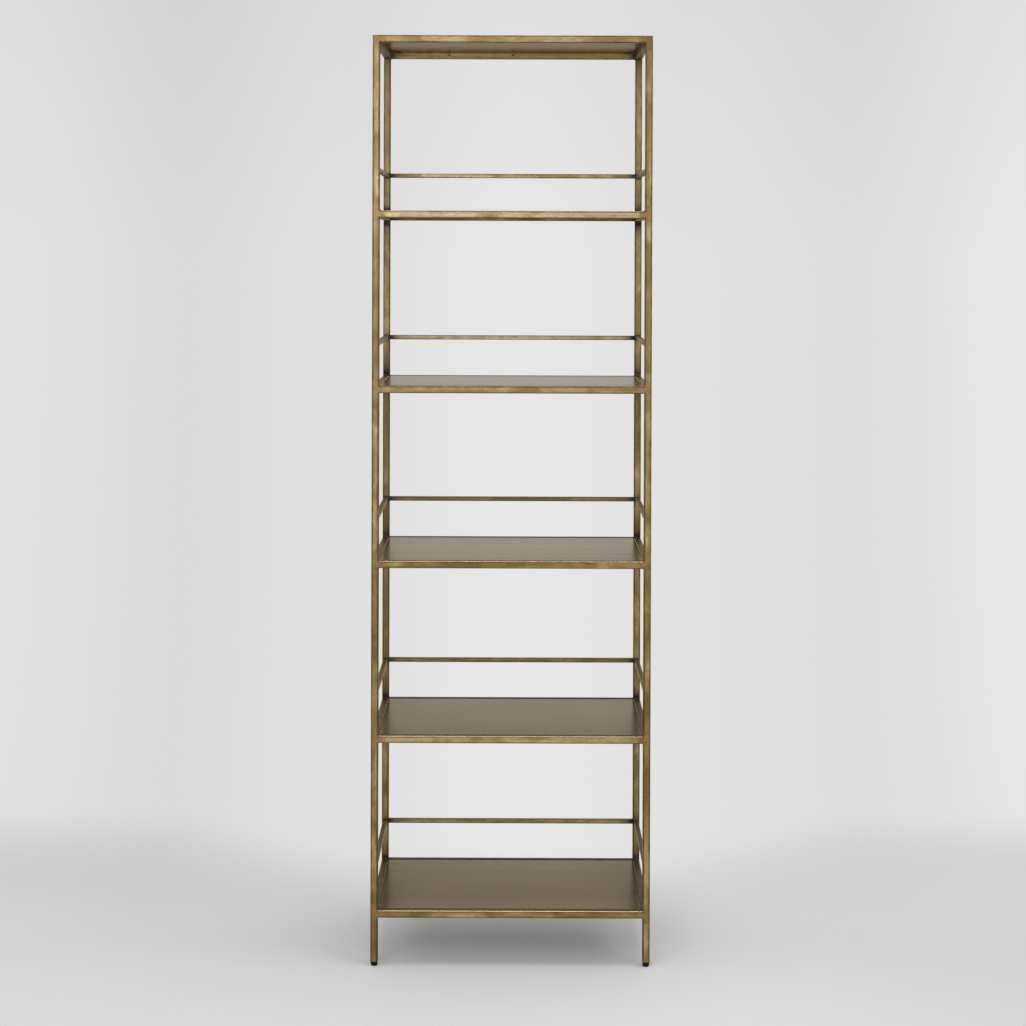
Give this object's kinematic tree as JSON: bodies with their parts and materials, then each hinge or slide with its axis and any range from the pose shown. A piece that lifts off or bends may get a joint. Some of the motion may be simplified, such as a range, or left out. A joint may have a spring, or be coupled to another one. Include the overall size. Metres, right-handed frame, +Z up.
{
  "type": "tiered shelf",
  "caption": "Tall open metal etagere: square-tube posts and rails, inset sheet shelves with low gallery bars at back and sides, and screw-in levelling glides.",
  "frame": {"origin": "on the floor under the centre of the shelf's footprint", "axes": "+Z up along the posts, the front faces -Y, +X to the right of someone who stands in front"},
  "size_m": [0.61, 0.381, 2.032],
  "materials": {
    "brass_tube": "antique brass finish on square steel tube, brushed along its length and clouded with patina, lacquered",
    "brass_bar": "the same antique brass finish on solid square steel bar",
    "bronze_sheet": "steel sheet in dark bronze, brushed across the width, satin",
    "tab_steel": "steel tabs finished with the frame",
    "foot_nylon": "black nylon tube insert",
    "glide_black": "black nylon glide pad, moulded, slightly glossy",
    "zinc_stud": "bright zinc-plated steel"
  },
  "bodies": {
    "frame": {"post_front_left": "brass_tube", "post_front_right": "brass_tube", "post_rear_left": "brass_tube", "post_rear_right": "brass_tube", "post_caps": "brass_tube", "foot_inserts": "foot_nylon", "shelf_1_rail_front": "brass_tube", "shelf_1_rail_rear": "brass_tube", "shelf_1_rail_left": "brass_tube", "shelf_1_rail_right": "brass_tube", "shelf_1_panel": "bronze_sheet", "shelf_1_gallery_rear": "brass_bar", "shelf_1_gallery_left": "brass_bar", "shelf_1_gallery_right": "brass_bar", "shelf_2_rail_front": "brass_tube", "shelf_2_rail_rear": "brass_tube", "shelf_2_rail_left": "brass_tube", "shelf_2_rail_right": "brass_tube", "shelf_2_panel": "bronze_sheet", "shelf_2_gallery_rear": "brass_bar", "shelf_2_gallery_left": "brass_bar", "shelf_2_gallery_right": "brass_bar", "shelf_3_rail_front": "brass_tube", "shelf_3_rail_rear": "brass_tube", "shelf_3_rail_left": "brass_tube", "shelf_3_rail_right": "brass_tube", "shelf_3_panel": "bronze_sheet", "shelf_3_gallery_rear": "brass_bar", "shelf_3_gallery_left": "brass_bar", "shelf_3_gallery_right": "brass_bar", "shelf_4_rail_front": "brass_tube", "shelf_4_rail_rear": "brass_tube", "shelf_4_rail_left": "brass_tube", "shelf_4_rail_right": "brass_tube", "shelf_4_panel": "bronze_sheet", "shelf_4_gallery_rear": "brass_bar", "shelf_4_gallery_left": "brass_bar", "shelf_4_gallery_right": "brass_bar", "shelf_5_rail_front": "brass_tube", "shelf_5_rail_rear": "brass_tube", "shelf_5_rail_left": "brass_tube", "shelf_5_rail_right": "brass_tube", "shelf_5_panel": "bronze_sheet", "shelf_5_gallery_rear": "brass_bar", "shelf_5_gallery_left": "brass_bar", "shelf_5_gallery_right": "brass_bar", "top_rail_front": "brass_tube", "top_rail_rear": "brass_tube", "top_rail_left": "brass_tube", "top_rail_right": "brass_tube", "top_panel": "bronze_sheet", "panel_tabs": "tab_steel"},
    "stud_front_left": {"glide_stud_front_left": "zinc_stud"},
    "pad_front_left": {"glide_pad_front_left": "glide_black"},
    "stud_front_right": {"glide_stud_front_right": "zinc_stud"},
    "pad_front_right": {"glide_pad_front_right": "glide_black"},
    "stud_rear_left": {"glide_stud_rear_left": "zinc_stud"},
    "pad_rear_left": {"glide_pad_rear_left": "glide_black"},
    "stud_rear_right": {"glide_stud_rear_right": "zinc_stud"},
    "pad_rear_right": {"glide_pad_rear_right": "glide_black"}
  },
  "joints": [
    {"name": "glide_travel_front_left", "type": "slide", "parent": "frame", "child": "stud_front_left", "axis": [0, 0, -1], "range_m": [0, 0.008]},
    {"name": "glide_turn_front_left", "type": "hinge", "parent": "stud_front_left", "child": "pad_front_left", "pos_m": [-0.297, -0.1825, 0.0045], "axis": [0, 0, -1], "range_deg": [0, 2880]},
    {"name": "glide_travel_front_right", "type": "slide", "parent": "frame", "child": "stud_front_right", "axis": [0, 0, -1], "range_m": [0, 0.008]},
    {"name": "glide_turn_front_right", "type": "hinge", "parent": "stud_front_right", "child": "pad_front_right", "pos_m": [0.297, -0.1825, 0.0045], "axis": [0, 0, -1], "range_deg": [0, 2880]},
    {"name": "glide_travel_rear_left", "type": "slide", "parent": "frame", "child": "stud_rear_left", "axis": [0, 0, -1], "range_m": [0, 0.008]},
    {"name": "glide_turn_rear_left", "type": "hinge", "parent": "stud_rear_left", "child": "pad_rear_left", "pos_m": [-0.297, 0.1825, 0.0045], "axis": [0, 0, -1], "range_deg": [0, 2880]},
    {"name": "glide_travel_rear_right", "type": "slide", "parent": "frame", "child": "stud_rear_right", "axis": [0, 0, -1], "range_m": [0, 0.008]},
    {"name": "glide_turn_rear_right", "type": "hinge", "parent": "stud_rear_right", "child": "pad_rear_right", "pos_m": [0.297, 0.1825, 0.0045], "axis": [0, 0, -1], "range_deg": [0, 2880]}
  ],
  "couplings": [
    {"joint": "glide_turn_front_left", "follows": "glide_travel_front_left", "rad_per_m": 6283.2},
    {"joint": "glide_turn_front_right", "follows": "glide_travel_front_right", "rad_per_m": 6283.2},
    {"joint": "glide_turn_rear_left", "follows": "glide_travel_rear_left", "rad_per_m": 6283.2},
    {"joint": "glide_turn_rear_right", "follows": "glide_travel_rear_right", "rad_per_m": 6283.2}
  ]
}
